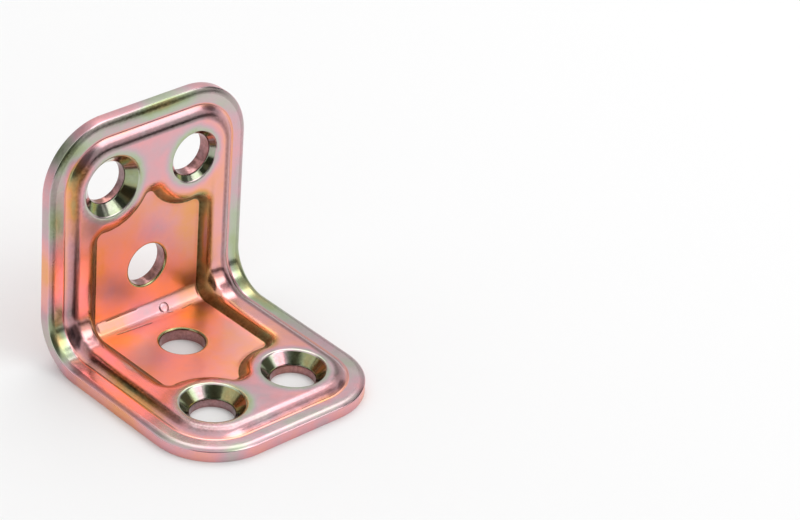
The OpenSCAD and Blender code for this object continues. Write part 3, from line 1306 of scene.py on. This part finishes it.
@dataclass
class FilmMap:
    """Where the film is thicker or thinner on the plate, where painted shade darkens it, and how dull each
    zone is.
    """

    sheet: Sheet
    holes: Holes
    matte_from: float = 4.9
    matte_dull: float = 1.15
    bend_dull: float = 0.9
    cut_dull: float = 1.3
    edge_dull: float = 0.6
    polished_dull: float = -0.5
    lip_offset: float = 0.35
    lip_width: float = 0.75
    lip_shift: float = -0.24
    # Tone shifts of the film, and painted shade on the walls, the top edge, the heel and the upper left
    # corner.
    upright_spots: tuple = (
        TintSpot(3, 39.5, 6, 1.5, -0.28),
        TintSpot(-1, 39.2, 10, 0.6, -0.1, 0.6),
        # A painted highlight: a pale strip down the recess's right wall.
        TintSpot(11.05, 12.8, 0.36, 4.4, -0.4, -1.0),
        TintSpot(11.8, 13.6, 0.32, 6, 0.1, 0.6),
        TintSpot(-11.4, 13, 0.9, 9, 0.06, 0.45),
        TintSpot(8.5, 17, 2.2, 5, 0.14),
        TintSpot(-9.3, 15, 1.2, 6, 0.14),
        TintSpot(1, 22.5, 4, 2, 0.1),
        TintSpot(1.5, 17.2, 3.5, 1.8, -0.08),
        TintSpot(-6, 9, 2.5, 3, -0.1),
        TintSpot(-16.5, 37.5, 2.6, 2.6, 0.0, 0.5),
        TintSpot(-18.3, 27, 0.7, 6, 0.0, 0.2),
        TintSpot(-14.2, 33.2, 1.9, 2.3, 0.5, 0.3),
        TintSpot(-17, 8.5, 2.2, 1.6, -0.1, 0.3),
        TintSpot(-16, 36.5, 4, 3, -0.34),
        TintSpot(-18, 25, 1.5, 3, -0.22),
        TintSpot(-18, 15.5, 1.5, 5, 0.36),
        TintSpot(-18, 5, 1.5, 4, -0.36),
        TintSpot(18, 6, 1.7, 6, -0.25),
        TintSpot(17.5, 27, 2, 4.5, 0.16),
        TintSpot(2.9, 2.9, 1.0, 1.0, -0.12),
        TintSpot(0, 3.1, 9, 1.3, -0.14),
        TintSpot(-15.2, 28, 0.9, 5, 0.45),
        TintSpot(2, 33, 8, 3.5, -0.09),
        TintSpot(8, 7, 3.5, 4, 0.15),
    )
    # Tone shifts of the film, and painted shade on the walls, the heel and the left shoulder; below 0 it
    # clears shade at the front.
    lower_spots: tuple = (
        TintSpot(-11, 13, 0.7, 9, 0.06, 0.25),
        TintSpot(-4.5, 14, 3, 3, -0.14),
        TintSpot(-17, 8.5, 2.2, 1.6, -0.1, 0.35),
        TintSpot(-15.2, 18, 0.7, 9, 0.45, 0.4),
        TintSpot(17.5, 20, 1.6, 13, 0.0, 0.12),
        TintSpot(-18, 4, 1.5, 2.5, -0.3),
        TintSpot(-18, 18, 2, 9, 0.26),
        TintSpot(4, 39, 7, 1.0, -0.1),
        TintSpot(0, 35.4, 12, 1.1, 0.0, -0.4),
        TintSpot(0, 39.5, 17, 0.9, 0.0, -0.22),
        TintSpot(-17.8, 22, 1.0, 14, 0.0, -0.18),
        TintSpot(-12.5, 39, 3.5, 1.0, -0.26),
        TintSpot(-9, 38.4, 7, 1.8, 0.12),
        TintSpot(12, 37.8, 6, 1.2, 0.08),
        TintSpot(18, 8, 1.9, 8, -0.26),
        TintSpot(16.5, 31, 2.5, 4, -0.1),
        TintSpot(0, 3.1, 9, 1.3, -0.14),
        TintSpot(0, 31, 9, 5, -0.14),
        TintSpot(6.5, 6.5, 3, 3, 0.18),
        TintSpot(-8, 6, 3, 2.5, 0.17),
        TintSpot(2.5, 20, 2.5, 2.5, 0.1),
    )
    # Sectors of the cones: tone shifts that are partly painted reflection, and painted shade.
    upright_sectors: tuple = (
        ConeSector(68, 16, -0.4),
        ConeSector(32, 13, 0.26, 0.12),
        ConeSector(-4, 12, 0.05),
        ConeSector(-40, 16, -0.16),
        ConeSector(-90, 16, 0.05, 0.12),
        ConeSector(-131, 12, -0.1),
        ConeSector(-165, 16, 0.3),
    )
    lower_sectors: tuple = (
        ConeSector(-116, 16, -0.14),
        ConeSector(-78, 14, 0.26, 0.1),
        ConeSector(-46, 12, -0.14, 0.2),
        ConeSector(-18, 14, -0.14, 0.1),
        ConeSector(20, 22, -0.24),
    )

    def dullness(self, tones: np.ndarray, along: np.ndarray) -> np.ndarray:
        """How much rougher each point is than plain passivate.

        Args:
            tones: zone tones of the points.
            along: distances of the points from the heel.

        Returns:
            One value for each point, below 0 where the metal is polished.
        """
        pressed = np.where(along > self.matte_from, self.matte_dull, self.bend_dull)
        dull = np.where(in_zones(tones, Tone.RECESS, Tone.WALL), pressed, 0)
        for zones, value in (((Tone.CUT,), self.cut_dull), ((Tone.EDGE,), self.edge_dull),
                             ((Tone.GLINT, Tone.CONE), self.polished_dull)):
            dull = np.where(in_zones(tones, *zones), value, dull)
        return dull

    def lay(self, plate: bpy.types.Object) -> None:
        """Writes the film's tone, the painted shade and the metal's dullness at each point of the plate.

        Args:
            plate: the finished plate, with the tones and the painted shade of its zones.
        """
        mesh, holes = plate.data, self.holes
        x, y, z = (read_places(mesh) / MM).T
        y = y - self.sheet.length / 2
        upright = z > -y
        along = np.where(upright, z, -y)
        tones, darks = (read_layer(mesh, name) for name in ZONE_LAYERS)
        dull = self.dullness(tones, along)
        turned, pressed = in_zones(tones, Tone.CONE), in_zones(tones, Tone.RECESS, Tone.WALL)
        beyond = along - self.sheet.length + holes.margin
        mouth = np.where(upright & (x > 0), holes.small_mouth_radius, holes.mouth_radius)
        past = (np.hypot(np.abs(x) - holes.half_spacing, beyond) - mouth - self.lip_offset) / self.lip_width
        tones = tones + np.where(turned | pressed, 0, self.lip_shift * np.exp(-past ** 2))
        angle = np.degrees(np.arctan2(beyond, x - np.sign(x) * holes.half_spacing))
        for areas, there, places in (
            (self.upright_spots, upright & ~turned, (x, along)),
            (self.lower_spots, ~upright & ~turned, (x, along)),
            (self.upright_sectors, upright & turned, (angle,)),
            (self.lower_sectors, ~upright & turned, (angle,)),
        ):
            for area in areas:
                near = np.where(there, area.near(*places), 0)
                # Each spot and sector adds its tone shift and its painted shade.
                tones, darks = tones + near * area.shift, darks + near * area.dark
        for name in ZONE_LAYERS:
            mesh.attributes.remove(mesh.attributes[name])
        write_layers(mesh, {"film": tones, "dark": np.clip(darks, 0, 1), "dull": dull})


def aim(azimuth: float, elevation: float) -> Vector:
    """Direction from the bracket, from its angles in degrees about Z and over the floor."""
    turn, lift = math.radians(azimuth), math.radians(elevation)
    return Vector((math.cos(turn) * math.cos(lift), math.sin(turn) * math.cos(lift), math.sin(lift)))


@dataclass(frozen=True)
class SoftBox:
    """A lamp with an even face: its direction and size in degrees from the bracket, and its radiance."""

    name: str
    azimuth: float
    elevation: float
    wide: float
    tall: float
    radiance: float


@dataclass(frozen=True)
class Card:
    """A card that only reflections see: its direction and size in degrees, its grey and its distance."""

    name: str
    azimuth: float
    elevation: float
    wide: float
    tall: float
    grey: float
    distance: float = 0.7


@dataclass
class Studio:
    """Floor, walls, lights, cards and camera, in metres."""

    floor_size: float = 3.0
    floor_level: float = 0.9
    paper_roughness: float = 0.9
    wall_radius: float = 1.0
    wall_height: float = 0.75
    wall_grey: float = 0.78
    wall_sides: int = 48
    sky_level: float = 0.78
    lamp_distance: float = 0.8
    aim_height: float = 0.02
    location: tuple = (-0.28864, -0.33785, 0.29501)
    target: tuple = (0.02057, -0.01756, 0.02271)
    roll: float = 4.3713
    lens: float = 154.569
    sensor_width: float = 36
    nearest: float = 0.01
    farthest: float = 10
    boxes: tuple = (
        SoftBox("soft_box_front", 306, 46, 34, 38, 1.65),
        SoftBox("soft_box_back", 42, 60, 36, 34, 1.7),
    )
    cards: tuple = (
        Card("camera_side", 236, 26, 64, 50, 0.14, 0.72),
        Card("camera_front", 226, 16, 22, 30, 0.02, 0.68),
        Card("camera_top", 228, 50, 52, 18, 0.03, 0.66),
        Card("front_low", 306, 1, 60, 14, 0.03, 0.2),
        Card("front_white", 307, 17, 28, 19, 0.95, 0.69),
        Card("front_gap", 336, 45, 22, 18, 0.2),
        Card("back_left", 118, 18, 24, 22, 0.05),
        Card("right_side", 347, 19, 34, 22, 0.12),
        Card("back_top", 95, 45, 40, 20, 0.35),
    )

    def sheet(self, name: str, points: list, faces: list, grey: float) -> bpy.types.Object:
        """A plain part of the studio, in dull grey.

        Args:
            name: name of the part and of its material.
            points: its corners.
            faces: corners of each face.
            grey: lightness of its material.

        Returns:
            The part's object.
        """
        paper = bpy.data.materials.new(name)
        paper.use_nodes = True
        feed(paper.node_tree, paper.node_tree.nodes["Principled BSDF"],
             {"Base Color": (grey, grey, grey, 1), "Roughness": self.paper_roughness})
        mesh = bpy.data.meshes.new(name)
        mesh.from_pydata(points, [], faces)
        mesh.materials.append(paper)
        made = new_object(name, mesh)
        return made

    def rectangle(self, name: str, wide: float, tall: float, grey: float) -> bpy.types.Object:
        """A plain rectangle, from half its sizes."""
        corners = [(-wide, -tall, 0), (wide, -tall, 0), (wide, tall, 0), (-wide, tall, 0)]
        return self.sheet(name, corners, [(0, 1, 2, 3)], grey)

    def mirror_only(self, made: bpy.types.Object) -> None:
        """Leaves a part to reflections alone."""
        made.visible_camera = made.visible_diffuse = made.visible_shadow = made.visible_transmission = False

    def wall(self) -> None:
        """Round grey wall of the light tent, seen only in reflections."""
        count = self.wall_sides
        turns = [TURN * i / count for i in range(count)]
        points = [(self.wall_radius * math.cos(turn), self.wall_radius * math.sin(turn), height)
                  for height in (0, self.wall_height) for turn in turns]
        faces = [(i, (i + 1) % count, (i + 1) % count + count, i + count) for i in range(count)]
        self.mirror_only(self.sheet("tent_wall", points, faces, self.wall_grey))

    def place(self, made: bpy.types.Object, spot: SoftBox | Card, distance: float) -> None:
        """Hangs a lamp or card in its direction, facing the bracket.

        Args:
            made: object of the lamp or card.
            spot: the lamp or card.
            distance: distance from the bracket.
        """
        way = aim(spot.azimuth, spot.elevation)
        made.location = way * distance + Vector((0, 0, self.aim_height))
        made.rotation_euler = way.to_track_quat("Z", "Y").to_euler()

    def half_sizes(self, spot: SoftBox | Card, distance: float) -> tuple[float, float]:
        """Half the width and height of a lamp or card that hangs at a distance."""
        return tuple(distance * math.tan(math.radians(size / 2)) for size in (spot.wide, spot.tall))

    def card(self, card: Card) -> None:
        """Makes and hangs a card.

        Args:
            card: the card.
        """
        made = self.rectangle(card.name, *self.half_sizes(card, card.distance), card.grey)
        self.place(made, card, card.distance)
        self.mirror_only(made)

    def lamp(self, box: SoftBox) -> None:
        """Makes and hangs a soft box.

        Args:
            box: the soft box.
        """
        wide, tall = (2 * half for half in self.half_sizes(box, self.lamp_distance))
        data = bpy.data.lights.new(box.name, "AREA")
        data.shape, data.size, data.size_y = "RECTANGLE", wide, tall
        data.energy = box.radiance * math.pi * wide * tall
        self.place(new_object(box.name, data), box, self.lamp_distance)

    def world(self) -> None:
        """White surroundings for the camera and reflections, and a milder level for plain light."""
        world = bpy.data.worlds.new("studio")
        bpy.context.scene.world = world
        world.use_nodes = True
        tree = world.node_tree
        rays = add_node(tree, "ShaderNodeLightPath").outputs
        white = rays["Is Camera Ray"]
        for ray in ("Is Glossy Ray", "Is Transmission Ray"):
            white = add_math(tree, "MAXIMUM", white, rays[ray])
        level = add_node(tree, "ShaderNodeMapRange",
                         {"Value": white, "To Min": self.sky_level, "To Max": 1.0})
        feed(tree, tree.nodes["Background"], {"Color": (1, 1, 1, 1), "Strength": level.outputs["Result"]})

    def camera(self) -> None:
        """The camera at the photograph's angle."""
        data = bpy.data.cameras.new("camera")
        data.lens, data.sensor_width = self.lens, self.sensor_width
        data.clip_start, data.clip_end = self.nearest, self.farthest
        camera = new_object("camera", data)
        camera.location = self.location
        back = (Vector(self.location) - Vector(self.target)).normalized()
        level = back.to_track_quat("Z", "Y").to_matrix()
        camera.rotation_euler = (level @ Euler((0, 0, math.radians(self.roll))).to_matrix()).to_euler()
        bpy.context.scene.camera = camera

    def build(self) -> None:
        """Sets up the whole studio."""
        self.rectangle("floor", self.floor_size / 2, self.floor_size / 2, self.floor_level)
        self.wall()
        self.world()
        for box in self.boxes:
            self.lamp(box)
        for card in self.cards:
            self.card(card)
        self.camera()


def set_view() -> None:
    """Uses the plain view transform."""
    bpy.context.scene.view_settings.view_transform = "Standard"


def main() -> None:
    """Builds the studio and the bracket, in order."""
    set_view()
    Studio().build()
    LOG.info("studio ready")
    sheet = Sheet.from_frame()
    holes = Holes()
    plate = Plate(sheet, Recess(), holes, PressMarks()).build(Passivate().material())
    FilmMap(sheet, holes).lay(plate)
    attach(plate, BODY)
    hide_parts(NODE)
    LOG.info("%s: %d points", plate.name, len(plate.data.vertices))


if __name__ == "__main__":
    logging.basicConfig(level=logging.INFO, format="%(name)s: %(message)s")
    main()
